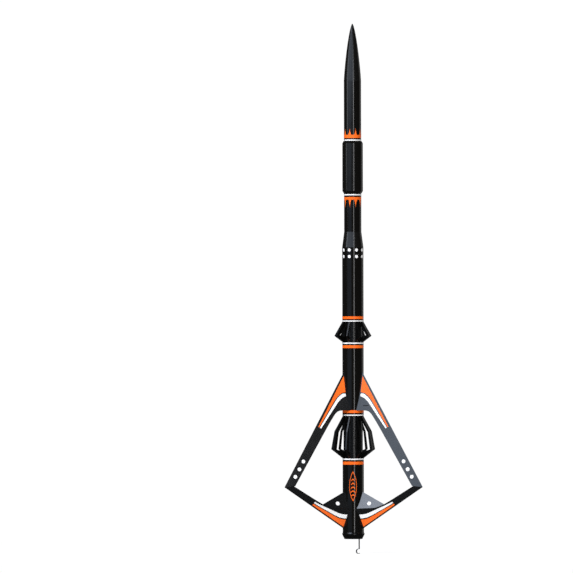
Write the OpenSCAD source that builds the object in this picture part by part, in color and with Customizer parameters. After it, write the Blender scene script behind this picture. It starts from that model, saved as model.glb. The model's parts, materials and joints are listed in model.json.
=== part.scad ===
// Model rocket, nose up along +Z.
// The origin is the centre of the motor tube's rear opening, in the plane of the tail ring's rear edge.
// Azimuths are degrees about Z from the front (-Y) towards the right (+X).

/* [Body tubes] */
// Outside radius of the wide tubes
wide_r = 20.8; // [20.6:0.1:21.0]
// Outside radius of the slim tubes
slim_r = 16.85; // [16.7:0.05:17.0]
// Wall of every body tube
tube_wall = 0.55; // [0.45:0.05:0.6]
// Height of the tail tube's top edge
tail_top = 158; // [150:1:162]
// Height of the large pod, edge to edge
large_pod_h = 82; // [78:1:86]
// Length of the tube that carries the fins
fin_tube_h = 145.4; // [142:0.2:150]
// Height of the small pod, edge to edge
small_pod_h = 39.3; // [36:0.1:42]
// Length of the main tube above the small pod
main_tube_h = 146.1; // [130:0.1:160]
// Height of the cone between the wide and the slim tubes
transition_h = 30.3; // [25:0.1:35]
// Bare length of the forward tube below the sleeve
forward_bare_h = 75.3; // [60:0.1:90]
// Length of the sleeve
sleeve_h = 102.5; // [90:0.5:110]
// Outside radius of the sleeve
sleeve_r = 20.1; // [19.5:0.1:20.6]
// Height of the sleeve's bevelled ends
sleeve_bevel_h = 4.5; // [3:0.5:6]

/* [Nose section] */
// Length of the payload tube
payload_h = 117.6; // [100:0.1:130]
// Length of the nose cone above its shoulder
nose_h = 112; // [100:1:120]
// Depth that the coupler reaches into the forward tube
coupler_depth = 35; // [25:1:40]

/* [Pods] */
// Number of fins round each pod
pod_fin_count = 9; // [9]
// Thickness of a pod fin
pod_fin_t = 2.4; // [1.6:0.1:2.8]

/* [Main fins] */
// Number of main fins
fin_count = 3; // [3]
// Thickness of the folded fin sheet
sheet_t = 1.6; // [1.0:0.1:1.8]
// Radius of the fin's outer corner
corner_r = 155.5; // [140:0.1:160]
// Height of the fin's outer corner
corner_z = 103.2; // [96:0.2:110]
// Height at which the upper ridge leaves the tube
upper_root_z = 327; // [315:0.2:332]
// Height at which the lower ridge leaves the tube
lower_root_z = 19.8; // [18:0.2:24]
// Height at which the gusset's ridge leaves the tube
gusset_root_z = 92.6; // [88:0.2:96]
// Angle between an upper sheet and the plane through its ridge
upper_fold = 18.4; // [16:0.1:20]
// Angle between a lower sheet and the plane through its ridge
lower_fold = 23.5; // [22:0.1:25]
// Angle between a gusset sheet and the plane through its ridge
gusset_fold = 23.8; // [22:0.1:25]

/* [Motor mount] */
// Bore radius of the motor tube, for a 24 mm motor
motor_bore_r = 12.065; // [12.05:0.005:12.1]
// Length of the motor tube
motor_tube_h = 78.5; // [70:0.5:95]
// Wall of the motor tube
motor_wall = 0.4; // [0.3:0.05:0.5]
// Width of the hook's steel strip
hook_w = 4.0; // [2.5:0.1:5]
// Thickness of the hook's steel strip
hook_t = 0.8; // [0.6:0.1:1.0]
// Distance that the hook hangs below the tail ring
hook_drop = 28.8; // [24:0.2:30]

/* [Launch lugs] */
// Bore radius of the lugs, for a 4.8 mm rod
lug_bore_r = 2.54; // [2.5:0.01:2.6]
// Outside radius of the lugs
lug_r = 2.9; // [2.85:0.05:3.1]
// Length of the front lug
front_lug_h = 47; // [30:1:48]
// Length of the rear lug
rear_lug_h = 28; // [20:1:29]
// Distance from the rocket's axis to the rod's axis
rod_r = 26; // [25.6:0.1:27]

/* [Recovery] */
// Radius of the packed parachute
pack_r = 14.5; // [10:0.5:15.5]
// Length of the packed parachute
pack_h = 72; // [50:1:75]

/* [Hidden] */
$fn = 96;
gap = 0.05;                 // clearance between glued sleeves
joint_gap = 0.02;           // clearance between parts glued face to face
seam = 0.01;                // overlap of a folded sheet's halves along their ridge
fin_az = [60, 180, 300];    // the three main fins
hook_az = 60;
lug_az = 240;
pod_az0 = 20;
pod_az_step = 360 / pod_fin_count;

// Tube radii
wide_in = wide_r - tube_wall;
slim_in = slim_r - tube_wall;
motor_r = motor_bore_r + motor_wall;

// Heights, tail to nose
ring_lip = 0.8;             // the pod rings' rims
tail_ring_h = 13.1;
large_z0 = tail_top;
large_z1 = large_z0 + large_pod_h;
small_z0 = large_z1 + fin_tube_h;
small_z1 = small_z0 + small_pod_h;
main_top = small_z1 + main_tube_h;
forward_z0 = main_top + transition_h;
sleeve_z0 = forward_z0 + forward_bare_h;
sleeve_z1 = sleeve_z0 + sleeve_h;
payload_z0 = sleeve_z1 + 0.1;
payload_z1 = payload_z0 + payload_h;
coupler_z0 = sleeve_z1 - coupler_depth;
coupler_z1 = payload_z0 + 42;
bulkhead_t = 5;

// Recovery gear, from the top down
eye_drop = 17;              // the screw eye below the bulkhead
bay_room = 14;              // free space between the pack and the eye
pack_z1 = coupler_z0 - eye_drop - bay_room;
pack_z0 = pack_z1 - pack_h;
wadding_h = 26;
wadding_z1 = pack_z0 - 1;

// Pod parts
pod_spigot = 6;
pod_rail = 19;              // the slots start this far from the axis
pod_root_r = slim_r + 0.02;

// Motor mount
hook_hinge_z = 20;
hook_in_r = motor_r + 0.15; // inner face of the strip
band_z0 = 21.5;
band_h = 6;
rear_ring_z0 = 28.5;
rear_ring_h = 3;
front_ring_z0 = 68;
front_ring_h = 3;

// Rear ends of the launch lugs
front_lug_z = 254;
rear_lug_z = 59;

// ---- general shapes

// Turns its children, drawn on the +X side, to an azimuth
module at_az(az) {
    rotate([0, 0, az - 90]) children();
}

// A plain tube from z0 to z1
module tube(r_out, r_in, z0, z1) {
    translate([0, 0, z0]) difference() {
        cylinder(r = r_out, h = z1 - z0);
        translate([0, 0, -1]) cylinder(r = r_in, h = z1 - z0 + 2);
    }
}

// ---- nose section

// Nose radius at a fraction s of its length: midway between a minimum-drag curve and a blunt power curve
function haack(s) = let (a = acos(1 - 2 * s)) sqrt((a * PI / 180 - sin(2 * a) / 2) / PI);
function nose_r(s, base) = base * (haack(s) + pow(s, 0.55)) / 2;

module nose_cone() {
    steps = 28;
    wall = 1.3;
    shoulder_h = 22;
    shoulder_r = slim_in - gap;
    // stations crowd towards the tip
    outer = [for (i = [0:steps]) let (s = pow(i / steps, 1.6)) [nose_r(s, slim_r), nose_h * (1 - s)]];
    inner = [for (i = [4:steps]) let (s = pow(i / steps, 1.6)) [nose_r(s, slim_r) - wall, nose_h * (1 - s) - wall]];
    profile = concat(
        [for (p = outer) [p[0], p[1]]],
        [[shoulder_r, 0], [shoulder_r, -shoulder_h], [shoulder_r - wall, -shoulder_h], [shoulder_r - wall, -wall]],
        [for (i = [len(inner) - 2:-1:0]) inner[i]],
        [[0, inner[0][1]]]);
    color([0.07, 0.075, 0.085]) translate([0, 0, payload_z1]) rotate_extrude() polygon(profile);
}

module payload_tube() {
    color([0.06, 0.065, 0.07]) tube(slim_r, slim_in, payload_z0, payload_z1);
}

module nose_coupler() {
    color([0.62, 0.5, 0.36]) tube(slim_in - gap, slim_in - gap - 1.1, coupler_z0, coupler_z1);
}

module payload_bulkhead() {
    r = slim_in - gap - 1.1 - gap;
    color([0.85, 0.74, 0.55]) translate([0, 0, coupler_z0 + 1]) difference() {
        cylinder(r = r, h = bulkhead_t);
        translate([0, 0, -1]) cylinder(r = 1.2, h = bulkhead_t + 2, $fn = 32);
    }
}

module screw_eye() {
    wire_r = 0.8;
    eye_r = 4.2;
    shank_r = 1.1;
    top = coupler_z0 + 1 + bulkhead_t + 3;
    eye_z = coupler_z0 - eye_drop + eye_r + wire_r;
    color([0.75, 0.76, 0.78]) {
        translate([0, 0, eye_z + eye_r - 0.3]) cylinder(r = shank_r, h = top - eye_z - eye_r + 0.3, $fn = 32);
        translate([0, 0, eye_z]) rotate([90, 0, 0]) rotate_extrude($fn = 48) translate([eye_r, 0]) circle(r = wire_r, $fn = 24);
    }
}

// ---- forward section

module forward_tube() {
    color([0.06, 0.065, 0.07]) tube(slim_r, slim_in, forward_z0, sleeve_z1);
}

module sleeve() {
    bore = slim_r + gap;
    grip_h = 8;
    skin = 1.2;
    color([0.05, 0.055, 0.06]) translate([0, 0, sleeve_z0]) rotate_extrude() polygon([
        [bore, 0], [bore + 0.5, 0], [sleeve_r, sleeve_bevel_h], [sleeve_r, sleeve_h - sleeve_bevel_h],
        [bore + 0.5, sleeve_h], [bore, sleeve_h], [bore, sleeve_h - grip_h], [sleeve_r - skin, sleeve_h - grip_h - 2],
        [sleeve_r - skin, grip_h + 2], [bore, grip_h]]);
}

module transition() {
    wall = 1.2;
    low_spigot = 14;
    high_spigot = 12;
    low_r = wide_in - gap;
    high_r = slim_in - gap;
    color([0.07, 0.075, 0.085]) translate([0, 0, main_top]) rotate_extrude() polygon([
        [low_r - wall, -low_spigot], [low_r, -low_spigot], [low_r, 0], [wide_r, 0],
        [slim_r, transition_h], [high_r, transition_h], [high_r, transition_h + high_spigot],
        [high_r - wall, transition_h + high_spigot], [high_r - wall, transition_h - 2], [low_r - wall, 1]]);
}

module main_tube() {
    color([0.06, 0.065, 0.07]) tube(wide_r, wide_in, small_z1 + ring_lip, main_top);
}

module parachute_pack() {
    color([0.72, 0.66, 0.9]) translate([0, 0, pack_z0]) cylinder(r = pack_r, h = pack_h);
}

module wadding() {
    color([0.9, 0.9, 0.88]) translate([0, 0, wadding_z1 - wadding_h]) cylinder(r = 14, h = wadding_h);
}

// A folded card glued to the wall: it grips the shock cord
module cord_anchor() {
    h = 24;
    z = forward_z0 + 22;
    color([0.93, 0.92, 0.88]) intersection() {
        tube(slim_in - gap, slim_in - 1.2, z, z + h);
        at_az(hook_az + 180) translate([0, -7, z - 1]) cube([slim_r, 14, h + 2]);
    }
}

// ---- pods

// One end ring: a rim flush with the wide tube and a spigot inside it; up is 1 if the spigot points up
module pod_ring(z, up) {
    color([0.04, 0.045, 0.05]) translate([0, 0, z]) mirror([0, 0, up > 0 ? 0 : 1]) rotate_extrude() polygon([
        [slim_r + gap, 0], [wide_r, 0], [wide_r, ring_lip], [wide_in - gap, ring_lip],
        [wide_in - gap, pod_spigot], [slim_r + gap, pod_spigot]]);
}

module pod_core(z0, z1) {
    reach = 16;
    color([0.04, 0.045, 0.05]) tube(slim_r, slim_in, z0 - reach, z1 + reach);
}

// A slotted fin standing on the core tube: outline and slot are [distance from the axis, height]
module pod_fin(number, z, outline, slot) {
    color([0.03, 0.035, 0.04]) at_az(pod_az0 + (number - 1) * pod_az_step) translate([0, pod_fin_t / 2, z])
        rotate([90, 0, 0]) linear_extrude(pod_fin_t) difference() {
            polygon(outline);
            polygon(slot);
        }
}

module small_pod_fin(number) {
    h = small_pod_h;
    pod_fin(number, small_z0,
        [[pod_root_r, 0], [wide_r, 0], [36.8, 12], [21.2, h], [pod_root_r, h]],
        [[pod_rail, 9.5], [29.6, 13.6], [pod_rail, h - 8]]);
}

module large_pod_fin(number) {
    h = large_pod_h;
    pod_fin(number, large_z0,
        [[pod_root_r, 0], [wide_r, 0], [43.5, 17.5], [37.1, 52.5], [wide_r, h], [pod_root_r, h]],
        [[pod_rail, 12], [37.9, 17.5], [33.2, 51], [pod_rail, h - 7.5]]);
}

module fin_tube() {
    color([0.06, 0.065, 0.07]) tube(wide_r, wide_in, large_z1 + ring_lip, small_z0 - ring_lip);
}

// ---- main fins
// Each fin is three folded sheets. A sheet hangs from, or stands on, a straight ridge in the plane through
// the rocket's axis, and its mirror image meets it along that ridge.

// Puts a flat shape (x along the ridge, y up) on the folded plane through the ridge from [r0, z0] to
// [r1, z1]; hang is 1 below the ridge and -1 above it
module on_fold(r0, z0, r1, z1, fold, hang) {
    pitch = atan2(z0 - z1, r1 - r0);
    translate([r0, 0, z0]) rotate([0, pitch, 0]) rotate([hang * fold, 0, 0]) rotate([90, 0, 0]) children();
}

module on_lower_fold() {
    on_fold(wide_r, lower_root_z, corner_r, corner_z, lower_fold, -1) children();
}

// The half space below (up = 0) or above (up = 1) the mitre where the two arms meet at the corner
module past_mitre(up) {
    size = 90;
    rise = 6.85;
    lean = 3.65;
    translate([corner_r, 0, corner_z]) rotate([-lean, rise, 0])
        translate([-size / 2, -size / 2, up * (size + 2 * joint_gap) - size - joint_gap]) cube(size);
}

// A left sheet and its mirror image, joined at the ridge and cut to the tube's surface
module both_sheets(number) {
    size = 400;
    at_az(fin_az[number - 1]) difference() {
        for (flip = [0, 1]) mirror([0, flip, 0]) intersection() {
            translate([0, -seam, 0]) cube(size);
            children();
        }
        cylinder(r = wide_r + joint_gap, h = size);
    }
}

module fin_upper_arm(number) {
    ridge = norm([corner_r - wide_r, upper_root_z - corner_z]);
    outline = [[-3, -4], [0, 0], [ridge + 4, 0], [ridge + 4, -17.6], [118, -20.9], [98, -21.7], [83, -22.8], [76, -24.9],
        [71.6, -28.6], [67.6, -34.6], [61, -47.6], [40, -42]];
    color([0.16, 0.17, 0.19]) both_sheets(number) difference() {
        on_fold(wide_r, upper_root_z, corner_r, corner_z, upper_fold, 1) linear_extrude(sheet_t) polygon(outline);
        past_mitre(0);
    }
}

module fin_lower_arm(number) {
    ridge = norm([corner_r - wide_r, corner_z - lower_root_z]);
    outline = [[-3, 4], [0, 0], [ridge + 4, 0], [ridge + 4, 11.7], [124, 13.1], [82.6, 14.8], [70, 15.6],
        [60, 17.2], [52, 19.2], [46.4, 21.4], [16.1, 39.8], [6, 40]];
    color([0.12, 0.13, 0.15]) both_sheets(number) difference() {
        on_lower_fold() linear_extrude(sheet_t) polygon(outline);
        past_mitre(1);
    }
}

// The gusset's sheets end where they meet the lower arm's inner faces
module fin_gusset(number) {
    ridge = 72.2;
    fall = 26.2;            // the ridge's slope, degrees below level
    outline = [[-3, -6], [0, 0], [ridge, 0], [9.6, -38.4], [5, -40]];
    color([0.3, 0.32, 0.35]) both_sheets(number) intersection() {
        on_fold(wide_r, gusset_root_z, wide_r + ridge * cos(fall), gusset_root_z - ridge * sin(fall), gusset_fold, 1)
            linear_extrude(sheet_t) polygon(outline);
        on_lower_fold() translate([-20, -20, sheet_t + joint_gap]) cube([160, 120, 60]);
    }
}

// ---- tail

module tail_tube() {
    color([0.06, 0.065, 0.07]) tube(wide_r, wide_in, tail_ring_h, tail_top - ring_lip);
}

module tail_ring() {
    flare_r = 21.9;
    rear_r = 17.5;
    wall = 0.9;
    spigot_h = 11;
    spigot_r = wide_in - gap;
    color([0.04, 0.045, 0.05]) rotate_extrude() polygon([
        [rear_r - wall, 0], [rear_r, 0], [flare_r, 9], [flare_r, 10.6], [wide_r, tail_ring_h], [spigot_r, tail_ring_h],
        [spigot_r, tail_ring_h + spigot_h], [spigot_r - wall, tail_ring_h + spigot_h], [spigot_r - wall, 8]]);
}

module motor_tube() {
    color([0.72, 0.6, 0.44]) tube(motor_r, motor_bore_r, 0, motor_tube_h);
}

// Caps the motor tube's front end and stops the motor; the hook's leaf passes through its notch
module thrust_ring() {
    skirt_h = 4;
    seat_z = motor_tube_h + hook_t + 0.3;
    color([0.8, 0.7, 0.52]) difference() {
        rotate_extrude() polygon([
            [9.6, seat_z], [motor_r + gap, seat_z], [motor_r + gap, motor_tube_h - skirt_h],
            [motor_r + 1.2, motor_tube_h - skirt_h], [motor_r + 1.2, seat_z + 3], [9.6, seat_z + 3]]);
        at_az(hook_az) translate([8, -hook_w / 2 - 0.4, motor_tube_h - skirt_h - 1]) cube([8, hook_w + 0.8, skirt_h + 2.4]);
    }
}

// A card ring round the motor tube, notched for the hook's leaf
module centring_ring(z, h) {
    color([0.85, 0.76, 0.58]) translate([0, 0, z]) difference() {
        cylinder(r = wide_in - gap, h = h);
        translate([0, 0, -1]) cylinder(r = motor_r + gap, h = h + 2);
        at_az(hook_az) translate([10, -hook_w / 2 - 0.3, -1]) cube([motor_r + 1.5 - 10, hook_w + 0.6, h + 2]);
    }
}

module hook_band() {
    inner = norm([hook_in_r + hook_t, hook_w / 2]) + gap;
    color([0.15, 0.15, 0.16]) tube(inner + 0.5, inner, band_z0, band_z0 + band_h);
}

// The fixed, upper part of the hook's strip: it runs up the motor tube and turns in over the tube's end
module hook_leaf() {
    color([0.55, 0.56, 0.58]) at_az(hook_az) {
        translate([hook_in_r, -hook_w / 2, hook_hinge_z + 0.3])
            cube([hook_t, hook_w, motor_tube_h + 0.1 + hook_t - hook_hinge_z - 0.3]);
        translate([10.2, -hook_w / 2, motor_tube_h + 0.1]) cube([hook_in_r - 10.2 + 0.1, hook_w, hook_t]);
    }
}

// The springy, lower part: a straight strip that turns in behind the motor and curls back out as a finger grip
module engine_hook() {
    leg_end = -19;
    curl_r = (hook_drop + leg_end) / 2;
    reach = 1.3;
    tail = reach + 1;
    color([0.6, 0.61, 0.63]) at_az(hook_az) translate([0, hook_w / 2, 0]) rotate([90, 0, 0]) linear_extrude(hook_w) {
        // leg
        translate([hook_in_r, leg_end]) square([hook_t, hook_hinge_z - leg_end]);
        // lip under the motor
        translate([hook_in_r - reach, leg_end - hook_t]) square([reach + hook_t, hook_t]);
        // curl
        translate([hook_in_r - reach, -hook_drop + curl_r]) intersection() {
            difference() {
                circle(r = curl_r, $fn = 48);
                circle(r = curl_r - hook_t, $fn = 48);
            }
            union() {
                translate([-curl_r * 2, -curl_r * 2]) square([curl_r * 2, curl_r * 4]);
                translate([-seam, -curl_r * 2]) square([tail, curl_r * 2]);
            }
        }
    }
}

// ---- launch lugs

module lug(z, h) {
    color([0.08, 0.08, 0.09]) at_az(lug_az) translate([rod_r, 0, z]) difference() {
        cylinder(r = lug_r, h = h, $fn = 48);
        translate([0, 0, -1]) cylinder(r = lug_bore_r, h = h + 2, $fn = 48);
    }
}

// The web that stands a lug off the tube
module standoff(z, h) {
    w = 3;
    lead = 5;
    color([0.08, 0.08, 0.09]) at_az(lug_az) difference() {
        translate([0, w / 2, z]) rotate([90, 0, 0]) linear_extrude(w)
            polygon([[wide_r - 1, 0], [rod_r, lead], [rod_r, h - lead], [wide_r - 1, h]]);
        translate([0, 0, z - 1]) cylinder(r = wide_r + joint_gap, h = h + 2);
        translate([rod_r, 0, z - 1]) cylinder(r = lug_r + joint_gap, h = h + 2, $fn = 48);
    }
}

nose_cone();
payload_tube();
nose_coupler();
payload_bulkhead();
screw_eye();
forward_tube();
sleeve();
transition();
main_tube();
pod_ring(small_z1, 1);  // small_pod_front_ring
pod_ring(small_z0, -1);  // small_pod_rear_ring
pod_core(small_z0, small_z1);  // small_pod_core
fin_tube();
pod_ring(large_z1, 1);  // large_pod_front_ring
pod_ring(large_z0, -1);  // large_pod_rear_ring
pod_core(large_z0, large_z1);  // large_pod_core
tail_tube();
tail_ring();
motor_tube();
thrust_ring();
centring_ring(front_ring_z0, front_ring_h);  // front_centring_ring
centring_ring(rear_ring_z0, rear_ring_h);  // rear_centring_ring
hook_band();
hook_leaf();
engine_hook();
lug(front_lug_z, front_lug_h);  // front_lug
lug(rear_lug_z, rear_lug_h);  // rear_lug
standoff(front_lug_z, front_lug_h);  // front_standoff
standoff(rear_lug_z, rear_lug_h);  // rear_standoff
parachute_pack();
wadding();
cord_anchor();
for (i = [1:pod_fin_count]) {
    small_pod_fin(i);
    large_pod_fin(i);
}
for (i = [1:fin_count]) {
    fin_upper_arm(i);
    fin_lower_arm(i);
    fin_gusset(i);
}
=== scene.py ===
import json
import math

import bpy
from mathutils import Matrix, Vector


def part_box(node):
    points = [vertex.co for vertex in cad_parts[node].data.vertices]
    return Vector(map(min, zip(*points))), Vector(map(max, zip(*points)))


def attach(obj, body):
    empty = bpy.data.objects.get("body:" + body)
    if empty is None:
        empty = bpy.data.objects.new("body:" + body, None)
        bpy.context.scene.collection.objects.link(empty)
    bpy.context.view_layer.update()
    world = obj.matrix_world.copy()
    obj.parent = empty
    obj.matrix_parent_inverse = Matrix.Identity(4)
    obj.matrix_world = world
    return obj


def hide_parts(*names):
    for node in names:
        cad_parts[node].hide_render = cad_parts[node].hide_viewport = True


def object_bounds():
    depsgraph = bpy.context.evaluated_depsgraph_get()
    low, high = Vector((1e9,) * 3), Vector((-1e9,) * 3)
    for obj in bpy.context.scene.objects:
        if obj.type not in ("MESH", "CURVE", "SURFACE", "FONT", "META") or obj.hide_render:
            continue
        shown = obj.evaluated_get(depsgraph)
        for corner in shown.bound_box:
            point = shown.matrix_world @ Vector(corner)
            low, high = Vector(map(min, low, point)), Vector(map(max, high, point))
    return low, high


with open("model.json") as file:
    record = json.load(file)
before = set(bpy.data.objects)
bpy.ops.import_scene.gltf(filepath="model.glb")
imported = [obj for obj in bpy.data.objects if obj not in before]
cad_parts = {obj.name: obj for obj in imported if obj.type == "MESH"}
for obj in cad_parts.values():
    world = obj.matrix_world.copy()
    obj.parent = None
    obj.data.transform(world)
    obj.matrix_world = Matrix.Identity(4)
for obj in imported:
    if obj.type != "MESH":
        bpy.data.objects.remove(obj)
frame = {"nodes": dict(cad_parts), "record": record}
cadBounds = [list(corner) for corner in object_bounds()]
nodes = frame["nodes"]
mm = 0.001
print("loaded", len(nodes), "nodes")


# ---- small helpers

def deselectAll():
    if bpy.context.mode != "OBJECT":
        bpy.ops.object.mode_set(mode="OBJECT")
    bpy.ops.object.select_all(action="DESELECT")


def pick(obj):
    deselectAll()
    obj.select_set(True)
    bpy.context.view_layer.objects.active = obj


def applyPlace(obj, place=None):
    pick(obj)
    if place is not None:
        obj.matrix_world = place @ obj.matrix_world
    bpy.ops.object.transform_apply(location=True, rotation=True, scale=True)


def applyModifiers(obj):
    pick(obj)
    for modifier in list(obj.modifiers):
        bpy.ops.object.modifier_apply(modifier=modifier.name)


def editAll(obj):
    pick(obj)
    bpy.ops.object.mode_set(mode="EDIT")
    bpy.ops.mesh.select_all(action="SELECT")


def leaveEdit():
    bpy.ops.object.mode_set(mode="OBJECT")


def cleanMesh(obj, mergeDistance=0.000002):
    # merges doubles, then turns every face outwards
    editAll(obj)
    bpy.ops.mesh.remove_doubles(threshold=mergeDistance)
    bpy.ops.mesh.normals_make_consistent(inside=False)
    leaveEdit()


def smoothShade(obj, degrees=35):
    pick(obj)
    bpy.ops.object.shade_smooth_by_angle(angle=math.radians(degrees))


def joinPieces(pieces, name):
    deselectAll()
    for piece in pieces:
        piece.select_set(True)
    bpy.context.view_layer.objects.active = pieces[0]
    if len(pieces) > 1:
        bpy.ops.object.join()
    joined = bpy.context.view_layer.objects.active
    joined.name = name
    joined.data.name = name
    return joined


def copyPiece(obj, place):
    twin = obj.copy()
    twin.data = obj.data.copy()
    bpy.context.scene.collection.objects.link(twin)
    applyPlace(twin, place)
    return twin


def turnTo(azimuth):
    # azimuth 0 is the front, -Y, and 90 is +X
    return Matrix.Rotation(math.radians(azimuth), 4, "Z")


def finishPiece(obj, material, body):
    obj.data.materials.clear()
    obj.data.materials.append(material)
    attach(obj, body)
    return obj


# ---- camera, floor and light

cameraSetup = {
    "lens": 500,
    "sensor": 36,
    "distance": 15.577,
    "aimX": -0.1299,
    "aimZ": 0.49435,
    "roll": -0.12,
}


def makeCamera(setup):
    deselectAll()
    bpy.ops.object.camera_add(location=(setup["aimX"], -setup["distance"], setup["aimZ"]))
    camera = bpy.context.object
    camera.name = "studioCamera"
    camera.rotation_euler = (math.radians(90), 0, 0)
    camera.rotation_euler.rotate_axis("Z", math.radians(setup["roll"]))
    camera.data.lens = setup["lens"]
    camera.data.sensor_width = setup["sensor"]
    camera.data.clip_start = 0.1
    camera.data.clip_end = 100
    bpy.context.scene.camera = camera


studioSetup = {
    "floorRadius": 0.9,
    "floorDrop": 0.0005,
    "floorGrey": 0.25,      # takes a faint shadow
    "floorGlow": 0.88,      # lifts the rest to white
    "backdrop": 1.02,       # what the camera sees behind the rocket
    "ambient": 0.05,        # what the rocket sees round it
    "ambientTint": (0.96, 1.0, 1.06),
}


def makeWorld(setup):
    world = bpy.data.worlds.new("studioWorld")
    bpy.context.scene.world = world
    world.use_nodes = True
    tree = world.node_tree
    tree.nodes.clear()
    output = tree.nodes.new("ShaderNodeOutputWorld")
    mix = tree.nodes.new("ShaderNodeMixShader")
    path = tree.nodes.new("ShaderNodeLightPath")
    seen = tree.nodes.new("ShaderNodeBackground")
    seen.inputs["Color"].default_value = (1, 1, 1, 1)
    seen.inputs["Strength"].default_value = setup["backdrop"]
    around = tree.nodes.new("ShaderNodeBackground")
    around.inputs["Color"].default_value = (*setup["ambientTint"], 1)
    around.inputs["Strength"].default_value = setup["ambient"]
    tree.links.new(path.outputs["Is Camera Ray"], mix.inputs["Fac"])
    tree.links.new(around.outputs["Background"], mix.inputs[1])
    tree.links.new(seen.outputs["Background"], mix.inputs[2])
    tree.links.new(mix.outputs["Shader"], output.inputs["Surface"])
    bpy.context.scene.view_settings.view_transform = "Standard"


def makeFloor(setup):
    low = cadBounds[0][2] - setup["floorDrop"]
    deselectAll()
    bpy.ops.mesh.primitive_circle_add(
        vertices=96, radius=setup["floorRadius"], fill_type="NGON", location=(0, 0, low))
    floor = bpy.context.object
    floor.name = "studioFloor"
    material = bpy.data.materials.new("paleFloor")
    material.use_nodes = True
    tree = material.node_tree
    tree.nodes.clear()
    output = tree.nodes.new("ShaderNodeOutputMaterial")
    both = tree.nodes.new("ShaderNodeAddShader")
    card = tree.nodes.new("ShaderNodeBsdfDiffuse")
    card.inputs["Color"].default_value = (setup["floorGrey"],) * 3 + (1,)
    glow = tree.nodes.new("ShaderNodeEmission")
    glow.inputs["Strength"].default_value = setup["floorGlow"]
    tree.links.new(card.outputs[0], both.inputs[0])
    tree.links.new(glow.outputs[0], both.inputs[1])
    tree.links.new(both.outputs[0], output.inputs["Surface"])
    floor.data.materials.append(material)
    floor.visible_glossy = False


# azimuth and elevation say where each light stands as seen from the middle of the rocket
lightsAimZ = 0.49
lights = [
    {"name": "keyBox", "azimuth": -44, "elevation": 42, "distance": 5, "size": (2.6, 2.0),
     "power": 68, "tint": (0.86, 0.95, 1.12)},
    {"name": "veilLeft", "azimuth": -53, "elevation": 17.5, "distance": 5, "size": (4.7, 2.1),
     "power": 39, "tint": (0.80, 0.94, 1.16)},
    {"name": "veilFront", "azimuth": -6, "elevation": 17.5, "distance": 5, "size": (4.0, 2.1),
     "power": 30, "tint": (0.80, 0.94, 1.16)},
    {"name": "sideStrip", "azimuth": -75, "elevation": 14, "distance": 4.8, "size": (0.9, 1.8),
     "power": 9, "tint": (0.92, 0.98, 1.05)},
    {"name": "leftGlow", "azimuth": -40, "elevation": 0, "distance": 5, "size": (4.4, 1.3),
     "power": 4.2, "tint": (0.72, 0.92, 1.25)},
    {"name": "lineLight", "azimuth": 12.5, "elevation": 0, "distance": 2, "size": (0.20, 1.9),
     "power": 6.5, "tint": (1, 1, 1)},
    {"name": "rightEdge", "azimuth": 128, "elevation": 0, "distance": 2, "size": (1.2, 1.8),
     "power": 3.2, "tint": (1, 0.98, 0.95)},
    {"name": "softFill", "azimuth": -30, "elevation": 40, "distance": 2.2, "size": (1.8, 1.4),
     "power": 48, "tint": (1, 0.99, 0.98), "glossy": False},
    {"name": "rightFill", "azimuth": 50, "elevation": 20, "distance": 2.2, "size": (1.4, 1.4),
     "power": 13, "tint": (1, 1, 1), "glossy": False},
]


def makeLight(setup):
    azimuth, elevation = math.radians(setup["azimuth"]), math.radians(setup["elevation"])
    centre = Vector((0, 0, lightsAimZ))
    level = math.cos(elevation)
    away = Vector((math.sin(azimuth) * level, -math.cos(azimuth) * level, math.sin(elevation)))
    deselectAll()
    bpy.ops.object.light_add(type="AREA", location=centre + away * setup["distance"])
    light = bpy.context.object
    light.name = setup["name"]
    light.rotation_mode = "QUATERNION"
    light.rotation_quaternion = away.to_track_quat("Z", "Y")
    light.data.shape = "RECTANGLE"
    light.data.size, light.data.size_y = setup["size"]
    light.data.energy = setup["power"]
    light.data.color = setup["tint"]
    light.visible_camera = False
    light.visible_glossy = setup.get("glossy", True)


makeCamera(cameraSetup)
makeWorld(studioSetup)
makeFloor(studioSetup)
for setup in lights:
    makeLight(setup)
print("studio ready")


# ---- materials

def newMaterial(name, color, roughness, metallic=0.0):
    material = bpy.data.materials.new(name)
    material.use_nodes = True
    shader = material.node_tree.nodes["Principled BSDF"]
    shader.inputs["Base Color"].default_value = (*color, 1)
    shader.inputs["Roughness"].default_value = roughness
    shader.inputs["Metallic"].default_value = metallic
    material.diffuse_color = (*color, 1)
    return material


def addNode(tree, kind, **options):
    node = tree.nodes.new(kind)
    for key, value in options.items():
        setattr(node, key, value)
    return node


def mathNode(tree, operation, first, second=None, third=None):
    node = addNode(tree, "ShaderNodeMath", operation=operation)
    for index, value in enumerate((first, second, third)):
        if value is None:
            continue
        if isinstance(value, (int, float)):
            node.inputs[index].default_value = value
        else:
            tree.links.new(value, node.inputs[index])
    return node.outputs[0]


def mapRange(tree, value, fromLow, fromHigh, toLow, toHigh, smooth=False):
    node = addNode(tree, "ShaderNodeMapRange", interpolation_type="SMOOTHSTEP" if smooth else "LINEAR")
    tree.links.new(value, node.inputs["Value"])
    for key, number in (("From Min", fromLow), ("From Max", fromHigh), ("To Min", toLow), ("To Max", toHigh)):
        node.inputs[key].default_value = number
    return node.outputs["Result"]


def objectPoint(tree, stretch=(1, 1, 1)):
    coordinates = addNode(tree, "ShaderNodeTexCoord")
    if stretch == (1, 1, 1):
        return coordinates.outputs["Object"]
    mapping = addNode(tree, "ShaderNodeMapping")
    mapping.inputs["Scale"].default_value = stretch
    tree.links.new(coordinates.outputs["Object"], mapping.inputs["Vector"])
    return mapping.outputs["Vector"]


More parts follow.
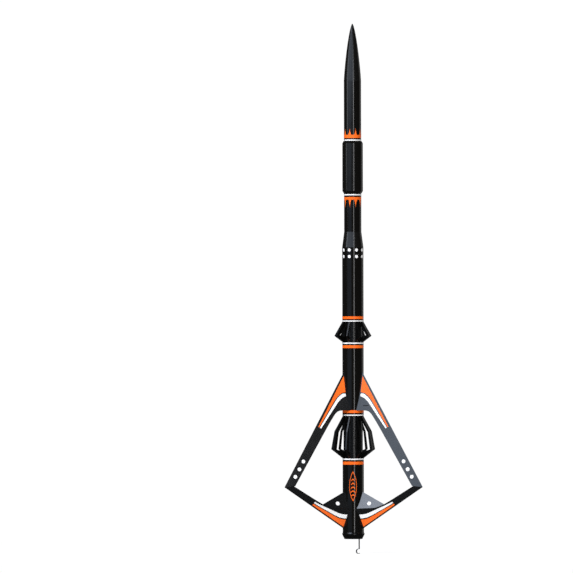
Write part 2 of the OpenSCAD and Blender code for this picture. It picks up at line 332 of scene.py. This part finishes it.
def noiseOf(tree, point, scale, detail=3.0, rough=0.55):
    node = addNode(tree, "ShaderNodeTexNoise")
    node.inputs["Scale"].default_value = scale
    node.inputs["Detail"].default_value = detail
    node.inputs["Roughness"].default_value = rough
    tree.links.new(point, node.inputs["Vector"])
    return node.outputs["Fac"]


def tintBy(material, factor, dark, light):
    # blends the base colour from dark to light by a 0 to 1 pattern
    tree = material.node_tree
    mix = addNode(tree, "ShaderNodeMix", data_type="RGBA")
    mix.inputs["A"].default_value = (*dark, 1)
    mix.inputs["B"].default_value = (*light, 1)
    tree.links.new(factor, mix.inputs["Factor"])
    tree.links.new(mix.outputs["Result"], tree.nodes["Principled BSDF"].inputs["Base Color"])


def roughenBy(material, factor, low, high):
    tree = material.node_tree
    spread = mapRange(tree, factor, 0.3, 0.7, low, high)
    tree.links.new(spread, tree.nodes["Principled BSDF"].inputs["Roughness"])


def bumpBy(material, heights):
    # heights: pairs of a 0 to 1 pattern and its depth in metres
    tree = material.node_tree
    normal = None
    for height, depth in heights:
        bump = addNode(tree, "ShaderNodeBump")
        bump.inputs["Strength"].default_value = 1.0
        bump.inputs["Distance"].default_value = depth
        tree.links.new(height, bump.inputs["Height"])
        if normal is not None:
            tree.links.new(normal, bump.inputs["Normal"])
        normal = bump.outputs["Normal"]
    tree.links.new(normal, tree.nodes["Principled BSDF"].inputs["Normal"])


def spiralSeam(tree, pitch, width):
    # a thin groove that winds round the tube as its paper strip does
    split = addNode(tree, "ShaderNodeSeparateXYZ")
    tree.links.new(objectPoint(tree), split.inputs[0])
    angle = mathNode(tree, "ARCTAN2", split.outputs["Y"], split.outputs["X"])
    turn = mathNode(tree, "DIVIDE", angle, 2 * math.pi)
    climb = mathNode(tree, "MULTIPLY_ADD", split.outputs["Z"], 1 / pitch, turn)
    away = mathNode(tree, "ABSOLUTE", mathNode(tree, "SUBTRACT", mathNode(tree, "FRACT", climb), 0.5))
    return mapRange(tree, away, 0.0, width / pitch, 0.0, 1.0, smooth=True)


tubePaper = {
    "color": (0.0026, 0.0022, 0.0016), "roughness": (0.09, 0.15),
    "pitch": 0.066, "seam": 0.0014, "seamDepth": 0.000008, "grain": 0.0000016,
}


def makeTubePaper(setup):
    material = newMaterial("glossTubePaper", setup["color"], setup["roughness"][0])
    tree = material.node_tree
    grain = noiseOf(tree, objectPoint(tree, (1, 1, 0.35)), 900, 4)
    clouds = noiseOf(tree, objectPoint(tree), 45, 2)
    roughenBy(material, clouds, *setup["roughness"])
    seam = spiralSeam(tree, setup["pitch"], setup["seam"])
    bumpBy(material, [(seam, setup["seamDepth"]), (grain, setup["grain"])])
    return material


mouldedBlack = {
    "nose": {"color": (0.0040, 0.0036, 0.0030), "roughness": (0.19, 0.25),
             "grain": 0.000006, "parting": True},
    "sleeve": {"color": (0.0026, 0.0023, 0.0017), "roughness": (0.12, 0.18),
               "grain": 0.0000015, "parting": False},
    "pod": {"color": (0.0014, 0.0013, 0.0010), "roughness": (0.20, 0.27),
            "grain": 0.000004, "parting": False},
}


def makeMouldedBlack(name, setup):
    material = newMaterial(name, setup["color"], setup["roughness"][0])
    tree = material.node_tree
    grain = noiseOf(tree, objectPoint(tree), 2600, 2)
    flow = noiseOf(tree, objectPoint(tree, (1, 1, 0.3)), 70, 3)
    roughenBy(material, flow, *setup["roughness"])
    heights = [(grain, setup["grain"])]
    if setup["parting"]:
        # the mould's parting line, on both sides
        split = addNode(tree, "ShaderNodeSeparateXYZ")
        tree.links.new(objectPoint(tree), split.inputs[0])
        off = mathNode(tree, "ABSOLUTE", split.outputs["Y"])
        line = mapRange(tree, off, 0.00008, 0.00026, 1.0, 0.0, smooth=True)
        heights.append((line, 0.00005))
    bumpBy(material, heights)
    return material


finSheet = {
    "color": (0.0045, 0.0046, 0.0048),
    "dark": (0.0038, 0.0039, 0.0042), "light": (0.0055, 0.0056, 0.0058),
    "roughness": (0.17, 0.22), "specular": 1.0, "grain": 0.0000015,
}


def makeFinSheet(setup):
    material = newMaterial("satinFinSheet", setup["color"], setup["roughness"][0])
    tree = material.node_tree
    grain = noiseOf(tree, objectPoint(tree), 1800, 3)
    clouds = noiseOf(tree, objectPoint(tree), 30, 3)
    roughenBy(material, clouds, *setup["roughness"])
    tintBy(material, clouds, setup["dark"], setup["light"])
    bumpBy(material, [(grain, setup["grain"])])
    tree.nodes["Principled BSDF"].inputs["Specular IOR Level"].default_value = setup["specular"]
    return material


def makeFilm(name, dark, light, roughness, specular):
    # printed adhesive film
    material = newMaterial(name, light, roughness)
    tree = material.node_tree
    tree.nodes["Principled BSDF"].inputs["Specular IOR Level"].default_value = specular
    clouds = noiseOf(tree, objectPoint(tree), 55, 3)
    grain = noiseOf(tree, objectPoint(tree), 1500, 2)
    tintBy(material, mapRange(tree, clouds, 0.3, 0.7, 0.0, 1.0), dark, light)
    roughenBy(material, clouds, roughness - 0.03, roughness + 0.05)
    bumpBy(material, [(grain, 0.000003)])
    return material


def makeKraftCard():
    material = newMaterial("kraftCard", (0.42, 0.27, 0.14), 0.8)
    tree = material.node_tree
    fibres = noiseOf(tree, objectPoint(tree, (1, 1, 0.12)), 1300, 4)
    flecks = noiseOf(tree, objectPoint(tree), 500, 5, 0.7)
    weighed = mathNode(tree, "MULTIPLY", flecks, 0.4)
    both = mathNode(tree, "ADD", mathNode(tree, "MULTIPLY", fibres, 0.6), weighed)
    tintBy(material, mapRange(tree, both, 0.35, 0.65, 0, 1), (0.31, 0.19, 0.09), (0.50, 0.34, 0.19))
    roughenBy(material, flecks, 0.72, 0.88)
    bumpBy(material, [(both, 0.00003), (spiralSeam(tree, 0.058, 0.0005), 0.00004)])
    return material


def makeFibreBoard():
    material = newMaterial("fibreBoard", (0.68, 0.52, 0.31), 0.85)
    tree = material.node_tree
    layers = noiseOf(tree, objectPoint(tree, (1, 1, 9)), 300, 3)
    flecks = noiseOf(tree, objectPoint(tree), 1100, 4, 0.7)
    both = mathNode(tree, "MULTIPLY", mathNode(tree, "ADD", layers, flecks), 0.5)
    tintBy(material, mapRange(tree, both, 0.35, 0.65, 0, 1), (0.52, 0.37, 0.20), (0.76, 0.61, 0.40))
    bumpBy(material, [(both, 0.00004)])
    return material


def makeSteel(name, color, roughness, along):
    # metal with fine drawing lines
    material = newMaterial(name, color, roughness, 1.0)
    tree = material.node_tree
    lines = noiseOf(tree, objectPoint(tree, along), 2200, 3)
    clouds = noiseOf(tree, objectPoint(tree), 160, 2)
    tintBy(material, clouds, tuple(c * 0.82 for c in color), color)
    roughenBy(material, lines, roughness - 0.06, roughness + 0.1)
    bumpBy(material, [(lines, 0.000008)])
    return material


def makeTissue():
    material = newMaterial("waddingTissue", (0.83, 0.83, 0.80), 0.9)
    tree = material.node_tree
    creases = addNode(tree, "ShaderNodeTexVoronoi", feature="DISTANCE_TO_EDGE")
    creases.inputs["Scale"].default_value = 260
    tree.links.new(objectPoint(tree), creases.inputs["Vector"])
    fibres = noiseOf(tree, objectPoint(tree), 2400, 3)
    folds = mapRange(tree, creases.outputs["Distance"], 0.0, 0.12, 0.0, 1.0, smooth=True)
    # the tint darkens the tissue along its creases: painted shade in the folds, laid over the real crease
    # bump
    tintBy(material, folds, (0.66, 0.66, 0.63), (0.86, 0.86, 0.83))
    bumpBy(material, [(folds, 0.0004), (fibres, 0.00005)])
    return material


def makeChuteFilm():
    material = newMaterial("chuteFilm", (0.42, 0.35, 0.72), 0.35)
    tree = material.node_tree
    folds = noiseOf(tree, objectPoint(tree, (1, 1, 0.25)), 420, 4)
    clouds = noiseOf(tree, objectPoint(tree), 120, 2)
    tintBy(material, mapRange(tree, clouds, 0.35, 0.65, 0, 1), (0.36, 0.29, 0.64), (0.50, 0.42, 0.80))
    roughenBy(material, folds, 0.28, 0.46)
    bumpBy(material, [(folds, 0.00025)])
    return material


orangeInk = makeFilm("orangeFilm", (0.84, 0.120, 0.006), (0.89, 0.142, 0.008), 0.34, 0.3)
whiteInk = makeFilm("whiteFilm", (0.80, 0.79, 0.775), (0.85, 0.84, 0.825), 0.30, 0.5)
noseBlack = makeMouldedBlack("mouldedNoseBlack", mouldedBlack["nose"])
podBlack = makeMouldedBlack("mouldedPodBlack", mouldedBlack["pod"])
kraftCard = makeKraftCard()
springSteel = makeSteel("springSteel", (0.24, 0.24, 0.235), 0.30, (1, 1, 0.05))
finishes = {
    "body_tube": makeTubePaper(tubePaper),
    "nose_plastic": noseBlack,
    "sleeve_plastic": makeMouldedBlack("mouldedSleeveBlack", mouldedBlack["sleeve"]),
    "pod_plastic": podBlack,
    "fin_plastic": makeFinSheet(finSheet),
    "kraft_card": kraftCard,
    "fibre_board": makeFibreBoard(),
    "zinc_wire": makeSteel("zincWire", (0.66, 0.67, 0.69), 0.3, (1, 1, 0.3)),
    "spring_steel": springSteel,
    "band_film": makeFilm("blackFilm", (0.0008, 0.0008, 0.0008), (0.0014, 0.0014, 0.0014), 0.45, 0.15),
    "lug_card": makeTubePaper({**tubePaper, "pitch": 0.012, "seam": 0.0003}),
    "wadding_tissue": makeTissue(),
    "parachute_film": makeChuteFilm(),
}
for part in frame["record"]["subparts"]:
    obj = nodes[part["node"]]
    for holder in obj.material_slots:
        holder.material = finishes[part["material_slot"]]
print("materials on", len(nodes), "nodes")


# ---- printed bands on the tubes

wideRadius = 20.8
slimRadius = 16.85
filmGap = 0.02
filmThickness = 0.06

bands = [
    {"name": "tailBand", "radius": wideRadius, "orange": (145.9, 151.7), "white": (155.0, 157.7)},
    {"name": "finTubeLowBand", "radius": wideRadius, "white": (241.5, 243.7), "orange": (246.9, 252.1)},
    {"name": "finTubeTopBand", "radius": wideRadius, "orange": (373.7, 379.2), "white": (382.0, 384.5)},
    {"name": "mainTubeBand", "radius": wideRadius, "white": (425.6, 427.7), "orange": (430.5, 435.6)},
    {"name": "forwardBand", "radius": slimRadius, "orange": (663.9, 669.1), "white": (672.4, 674.6)},
    {"name": "payloadBand", "radius": slimRadius, "white": (779.2, 781.6), "orange": (784.5, 790.7)},
]


def makeBand(name, radius, low, high):
    deselectAll()
    bpy.ops.mesh.primitive_cylinder_add(
        vertices=144, radius=(radius + filmGap) * mm, depth=(high - low) * mm,
        end_fill_type="NOTHING", location=(0, 0, (low + high) / 2 * mm))
    band = bpy.context.object
    band.name = name
    applyPlace(band)
    wall = band.modifiers.new("wall", "SOLIDIFY")
    wall.thickness = filmThickness * mm
    wall.offset = 1
    applyModifiers(band)
    return band


def flatOutline(name, points, halfThickness=0.0):
    # a filled flat outline, in millimetres, as a mesh in the XY plane
    curve = bpy.data.curves.new(name, "CURVE")
    curve.dimensions = "2D"
    curve.fill_mode = "BOTH"
    curve.extrude = halfThickness * mm
    line = curve.splines.new("POLY")
    line.points.add(len(points) - 1)
    for point, (across, along) in zip(line.points, points):
        point.co = (across * mm, along * mm, 0, 1)
    line.use_cyclic_u = True
    obj = bpy.data.objects.new(name, curve)
    bpy.context.scene.collection.objects.link(obj)
    pick(obj)
    bpy.ops.object.convert(target="MESH")
    obj = bpy.context.object
    if halfThickness > 0:
        cleanMesh(obj)
    return obj


def wrapOn(obj, radius, azimuth, height, step=0.8):
    # cuts a flat outline into narrow strips, bends it round the tube and gives it thickness
    reach = max(abs(v.co.x) for v in obj.data.vertices) / mm
    count = int(reach / step)
    editAll(obj)
    for index in range(-count, count + 1):
        bpy.ops.mesh.select_all(action="SELECT")
        bpy.ops.mesh.bisect(plane_co=(index * step * mm, 0, 0), plane_no=(1, 0, 0))
    leaveEdit()
    stand = Matrix.Translation((0, -radius * mm, height * mm)) @ Matrix.Rotation(math.radians(90), 4, "X")
    applyPlace(obj, stand)
    for vertex in obj.data.vertices:
        angle = vertex.co.x / (radius * mm)
        vertex.co.x = (radius + filmGap) * mm * math.sin(angle)
        vertex.co.y = -(radius + filmGap) * mm * math.cos(angle)
    wall = obj.modifiers.new("wall", "SOLIDIFY")
    wall.thickness = filmThickness * mm
    wall.offset = 1
    applyModifiers(obj)
    applyPlace(obj, turnTo(azimuth))
    return obj


markAzimuths = [20 + 40 * n for n in range(9)]
spikes = {
    "forwardBand": {"base": 664.0, "length": -16.0, "halfWidth": 3.0},
    "payloadBand": {"base": 790.6, "length": 13.6, "halfWidth": 3.0},
}


def spikeOutline(halfWidth, length, count=6):
    # a thorn with hollow sides
    side = [(halfWidth * (1 - n / count) ** 1.7, length * n / count) for n in range(count)]
    outline = side + [(0, length)] + [(-x, y) for x, y in reversed(side)]
    return outline if length > 0 else outline[::-1]


orangePieces = []
whitePieces = []
for setup in bands:
    low, high = setup["orange"]
    parts = [makeBand(setup["name"], setup["radius"], low, high)]
    spike = spikes.get(setup["name"])
    if spike:
        for azimuth in markAzimuths:
            thorn = flatOutline("spike", spikeOutline(spike["halfWidth"], spike["length"]))
            parts.append(wrapOn(thorn, setup["radius"], azimuth, spike["base"]))
    orangePieces.append(joinPieces(parts, setup["name"] + "Orange"))
    low, high = setup["white"]
    band = makeBand(setup["name"], setup["radius"], low, high)
    whitePieces.append(joinPieces([band], setup["name"] + "White"))

dots = {"radius": 3.1, "heights": (565.5, 552.7)}


def circleOutline(radius, centre=(0, 0), count=32):
    angles = [2 * math.pi * n / count for n in range(count)]
    return [(centre[0] + radius * math.cos(a), centre[1] + radius * math.sin(a)) for a in angles]


dotPieces = []
for height in dots["heights"]:
    for azimuth in markAzimuths:
        flatDot = flatOutline("dot", circleOutline(dots["radius"]))
        dotPieces.append(wrapOn(flatDot, wideRadius, azimuth, height))
whitePieces.append(joinPieces(dotPieces, "mainTubeDots"))

emblem = {
    "azimuth": -2, "centre": 103.5, "halfHeight": 29.5, "halfWidth": 7.5, "rim": 0.85,
    "chevrons": 5, "chevronLow": -17.5, "chevronStep": 7.6, "chevronHalf": 4.6,
}


def lozengeOutline(halfWidth, halfHeight, count=12):
    # a slender leaf with pointed ends
    side = [(halfWidth * math.sin(math.pi * n / count) ** 0.8, halfHeight * (2 * n / count - 1))
            for n in range(count + 1)]
    return side + [(-x, y) for x, y in reversed(side[1:-1])]


def makeEmblem(setup):
    # a slender leaf outline with rising chevrons inside
    parts = []
    outer = lozengeOutline(setup["halfWidth"], setup["halfHeight"])
    inner = lozengeOutline(setup["halfWidth"] - setup["rim"], setup["halfHeight"] - 2.6 * setup["rim"])
    half = len(outer) // 2
    right = outer[:half + 1] + list(reversed(inner[:half + 1]))
    left = [(-x, y) for x, y in reversed(right)]
    parts += [right, left]
    for index in range(setup["chevrons"]):
        base = setup["chevronLow"] + index * setup["chevronStep"]
        wide = setup["chevronHalf"] - 0.5 * abs(index - 1.2)
        under = [(-wide, base - 2.8), (0, base), (wide, base - 2.8)]
        parts.append(under + [(wide, base - 0.9), (0, base + 2.2), (-wide, base - 0.9)])
    pieces = [wrapOn(flatOutline("emblemPart", outline), wideRadius, setup["azimuth"], setup["centre"])
              for outline in parts]
    return joinPieces(pieces, "tailEmblem")


orangePieces.append(makeEmblem(emblem))
print("bands, dots and emblem made")


# ---- printed stripes on the fins

def smoothLine(points, steps=5):
    # an even curve through the given points
    result = []
    for index in range(len(points) - 1):
        before = points[max(index - 1, 0)]
        start, end = points[index], points[index + 1]
        after = points[min(index + 2, len(points) - 1)]
        for step in range(steps):
            t = step / steps
            result.append(tuple(
                0.5 * (2 * start[k] + (end[k] - before[k]) * t
                       + (2 * before[k] - 5 * start[k] + 4 * end[k] - after[k]) * t ** 2
                       + (3 * start[k] - before[k] - 3 * end[k] + after[k]) * t ** 3)
                for k in range(2)))
    return result + [points[-1]]


# each sheet hangs from a ridge; outlines are (along the ridge, down the sheet) in millimetres
finSheets = {
    "upper": {"start": (20.8, 327.0), "end": (155.5, 103.2), "fold": 18.4, "hang": 1},
    "lower": {"start": (20.8, 19.8), "end": (155.5, 103.2), "fold": 23.5, "hang": -1},
    "gusset": {"start": (20.8, 92.6), "end": (85.585, 60.724), "fold": 23.8, "hang": 1},
}
upperOrangeEdge = [
    (34.4, 21.3), (36.8, 17.8), (40, 14.9), (50, 11.3), (60, 9.7),
    (70, 9.1), (80, 8.5), (100, 7.9), (122, 6.6)]
upperWhiteOuter = [
    (36.6, 22.6), (38, 19.6), (40.6, 16.9), (50, 13.1), (60, 11.7),
    (70, 11.1), (80, 10.5), (100, 9.5), (122, 8.3)]
upperWhiteInner = [
    (41, 25.6), (45, 22.2), (50, 19.6), (60, 17.2), (70, 16.2),
    (80, 15.2), (90, 14.3), (100, 13.3), (122, 11.2)]
lowerOrangeUpper = [
    (10, 17.4), (12.2, 15.7), (16, 13.8), (20, 12.4), (26, 10.9),
    (38, 9.6), (52, 8.7), (70, 7.1), (87, 5.9)]
lowerWhiteUnder = [
    (10.8, 19.6), (12.6, 18.2), (16, 16.4), (20, 14.8), (26, 13.1),
    (38, 11.4), (52, 10.3), (70, 8.7), (87, 7.7)]
lowerWhiteUpper = [
    (14.2, 27.2), (16, 25.7), (20, 23.4), (26, 21.0), (32, 19.2),
    (44, 17.2), (60, 14.6), (70, 12.9), (87, 10.6)]
stripes = [
    {"sheet": "upper", "ink": "orange",
     "outline": [(7.5, 3.4), (60, 4.0), (122, 4.8)] + smoothLine(upperOrangeEdge[::-1])},
    {"sheet": "upper", "ink": "white",
     "outline": smoothLine(upperWhiteOuter) + smoothLine(upperWhiteInner[::-1])},
    {"sheet": "lower", "ink": "white",
     "outline": smoothLine(lowerWhiteUnder) + smoothLine(lowerWhiteUpper[::-1])},
    {"sheet": "lower", "ink": "orange",
     "outline": [(4.4, 2.7), (87, 2.8)] + smoothLine(lowerOrangeUpper[::-1])},
    {"sheet": "upper", "ink": "white", "outline": circleOutline(3.7, (197.4, 9.9))},
    {"sheet": "upper", "ink": "white", "outline": circleOutline(3.7, (215.1, 9.9))},
    {"sheet": "upper", "ink": "white", "outline": circleOutline(3.7, (232.3, 9.7))},
    {"sheet": "gusset", "ink": "white", "outline": circleOutline(3.9, (25.8, 13.5))},
]
finAzimuths = [60, 180, 300]


def sheetPlace(sheet):
    # the matrix that lays a flat outline on the outer face of a fin's sheet
    (r0, z0), (r1, z1) = sheet["start"], sheet["end"]
    pitch = math.atan2(z0 - z1, r1 - r0)
    return (Matrix.Translation((r0 * mm, 0, z0 * mm))
            @ Matrix.Rotation(pitch, 4, "Y")
            @ Matrix.Rotation(math.radians(sheet["hang"] * sheet["fold"]), 4, "X")
            @ Matrix.Rotation(math.radians(90), 4, "X"))


def makeStripe(stripe):
    sheet = finSheets[stripe["sheet"]]
    flat = flatOutline("stripe", [(u, -v * sheet["hang"]) for u, v in stripe["outline"]], filmThickness / 2)
    applyPlace(flat, Matrix.Translation((0, 0, -(filmGap + filmThickness / 2) * mm)))
    applyPlace(flat, sheetPlace(sheet))
    return flat


def makeFinStripes(ink):
    # one side is made once; its mirror twin and the other two fins are copies
    oneSide = joinPieces([makeStripe(stripe) for stripe in stripes if stripe["ink"] == ink], "finSide")
    otherSide = copyPiece(oneSide, Matrix.Scale(-1, 4, (0, 1, 0)))
    cleanMesh(otherSide)
    pair = joinPieces([oneSide, otherSide], "finPair")
    result = []
    for number, azimuth in enumerate(finAzimuths, 1):
        piece = copyPiece(pair, turnTo(azimuth - 90))
        result.append(joinPieces([piece], "finStripes" + ink.capitalize() + str(number)))
    bpy.data.objects.remove(pair)
    return result


dashMark = {"sheet": "upper", "outline": [(59.4, 29.3), (60.6, 29.9), (66.1, 20.2), (64.9, 19.6)]}


def makeDash(setup):
    # the short dark mark on the front face of the right fin
    dash = makeStripe(setup)
    mirrored = copyPiece(dash, Matrix.Scale(-1, 4, (0, 1, 0)))
    bpy.data.objects.remove(dash)
    cleanMesh(mirrored)
    applyPlace(mirrored, turnTo(finAzimuths[0] - 90))
    return finishPiece(joinPieces([mirrored], "finDash"), finishes["band_film"], "airframe")


makeDash(dashMark)
orangePieces += makeFinStripes("orange")
whitePieces += makeFinStripes("white")
for piece in orangePieces + whitePieces:
    smoothShade(piece)
    orange = piece in orangePieces
    body = "nose_section" if piece.name.startswith("payload") else "airframe"
    finishPiece(piece, orangeInk if orange else whiteInk, body)
print("fin stripes made")


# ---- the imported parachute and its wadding

chute = {
    "turns": 53, "pointsPerTurn": 28, "innerRadius": 0.9, "margin": 0.45,
    "rows": 5, "film": 0.07, "across": 0.457,
}


def makeParachute(setup):
    # the folded canopy, rolled up from one side
    low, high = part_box("parachute_pack")
    outer = (high.x - low.x) / 2 - setup["margin"] * mm
    height = high.z - low.z
    count = setup["turns"] * setup["pointsPerTurn"]
    curve = bpy.data.curves.new("rolledParachute", "CURVE")
    curve.dimensions = "2D"
    curve.extrude = height / 2 - 1.6 * mm
    line = curve.splines.new("POLY")
    line.points.add(count)
    for index in range(count + 1):
        share = index / count
        angle = 2 * math.pi * setup["turns"] * share
        inner = setup["innerRadius"] * mm
        radius = inner + (outer - inner) * share + 0.00003 * math.sin(angle * 5.0 + 1.3)
        line.points[index].co = (radius * math.cos(angle), radius * math.sin(angle), 0, 1)
    roll = bpy.data.objects.new("rolledParachute", curve)
    bpy.context.scene.collection.objects.link(roll)
    pick(roll)
    bpy.ops.object.convert(target="MESH")
    roll = bpy.context.object
    editAll(roll)
    for row in range(1, setup["rows"]):
        bpy.ops.mesh.select_all(action="SELECT")
        bpy.ops.mesh.bisect(plane_co=(0, 0, height * (row / setup["rows"] - 0.5)), plane_no=(0, 0, 1))
    leaveEdit()
    for vertex in roll.data.vertices:
        # the folded edges end unevenly
        angle = math.atan2(vertex.co.y, vertex.co.x)
        radius = math.hypot(vertex.co.x, vertex.co.y)
        edge = abs(vertex.co.z) / (height / 2)
        vertex.co.z += math.copysign(edge ** 6 * 0.0012 * math.sin(3 * angle + radius * 2100), vertex.co.z)
    applyPlace(roll, Matrix.Translation((0, 0, (low.z + high.z) / 2)))
    film = roll.modifiers.new("film", "SOLIDIFY")
    film.thickness = setup["film"] * mm
    film.offset = 0
    applyModifiers(roll)
    smoothShade(roll)
    finishPiece(roll, finishes["parachute_film"], "parachute")
    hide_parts("parachute_pack")
    return roll


def makeWadding():
    # crumpled tissue squares pushed down the tube
    low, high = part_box("wadding")
    radius = (high.x - low.x) / 2
    height = high.z - low.z
    deselectAll()
    bpy.ops.mesh.primitive_cylinder_add(vertices=40, radius=radius * 0.9, depth=height * 0.9,
                                        location=(0, 0, (low.z + high.z) / 2))
    wad = bpy.context.object
    wad.name = "crumpledWadding"
    applyPlace(wad)
    pick(wad)
    soften = wad.modifiers.new("soften", "BEVEL")
    soften.width = 0.004
    soften.segments = 3
    soften.limit_method = "ANGLE"
    remesh = wad.modifiers.new("even", "REMESH")
    remesh.mode = "VOXEL"
    remesh.voxel_size = 0.0011
    applyModifiers(wad)
    crumple = bpy.data.textures.new("crumple", "VORONOI")
    crumple.noise_scale = 0.009
    crumple.distance_metric = "DISTANCE"
    push = wad.modifiers.new("crumple", "DISPLACE")
    push.texture = crumple
    push.texture_coords = "LOCAL"
    push.strength = 0.0022
    push.mid_level = 0.45
    applyModifiers(wad)
    smoothShade(wad, 50)
    finishPiece(wad, finishes["wadding_tissue"], "airframe")
    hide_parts("wadding")
    return wad


makeParachute(chute)
makeWadding()
print("parachute and wadding made")
